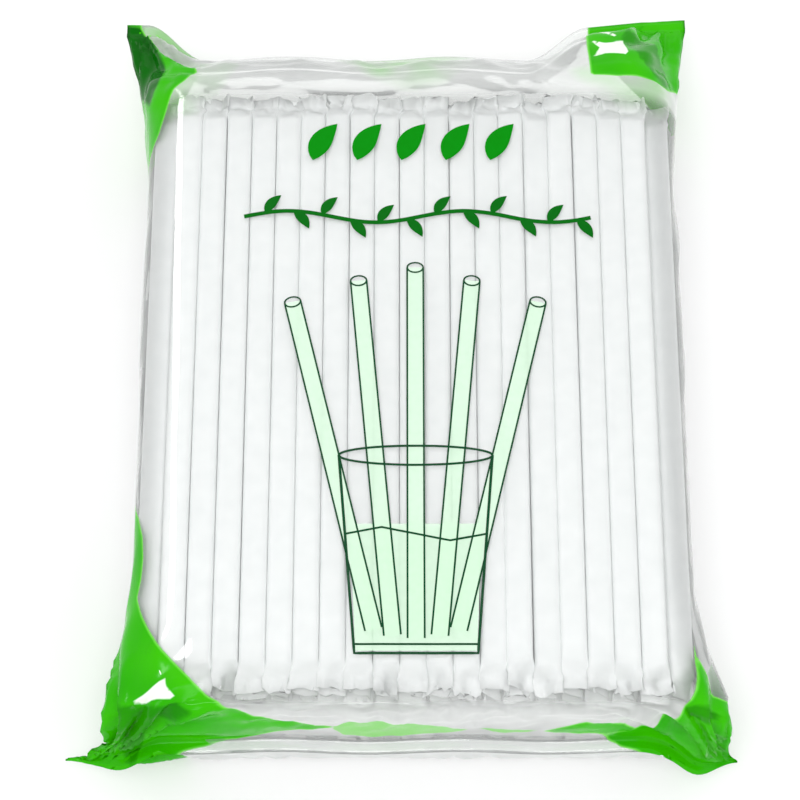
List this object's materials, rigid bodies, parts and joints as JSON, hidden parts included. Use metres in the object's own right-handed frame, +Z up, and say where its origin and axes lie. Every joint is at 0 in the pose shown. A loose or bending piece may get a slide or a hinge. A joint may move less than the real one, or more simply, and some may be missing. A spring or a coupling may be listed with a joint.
{
  "type": "pack of wrapped drinking straws",
  "caption": "Clear film pack of drinking straws in white paper sleeves, with green corners, lying on its back.",
  "frame": {"origin": "middle of the pack's underside, on the surface that it lies on", "axes": "+X across the pack, +Y along the straws towards the slack end, +Z up"},
  "size_m": [0.218, 0.278, 0.0526],
  "materials": {
    "film": "gloss",
    "sleeve_paper": "matte"
  },
  "bodies": {
    "root": {"film_bag": "film", "straw_layer_01": "sleeve_paper", "straw_layer_02": "sleeve_paper", "straw_layer_03": "sleeve_paper", "straw_layer_04": "sleeve_paper", "straw_layer_05": "sleeve_paper", "straw_layer_06": "sleeve_paper", "straw_layer_07": "sleeve_paper", "straw_layer_08": "sleeve_paper"}
  },
  "joints": []
}
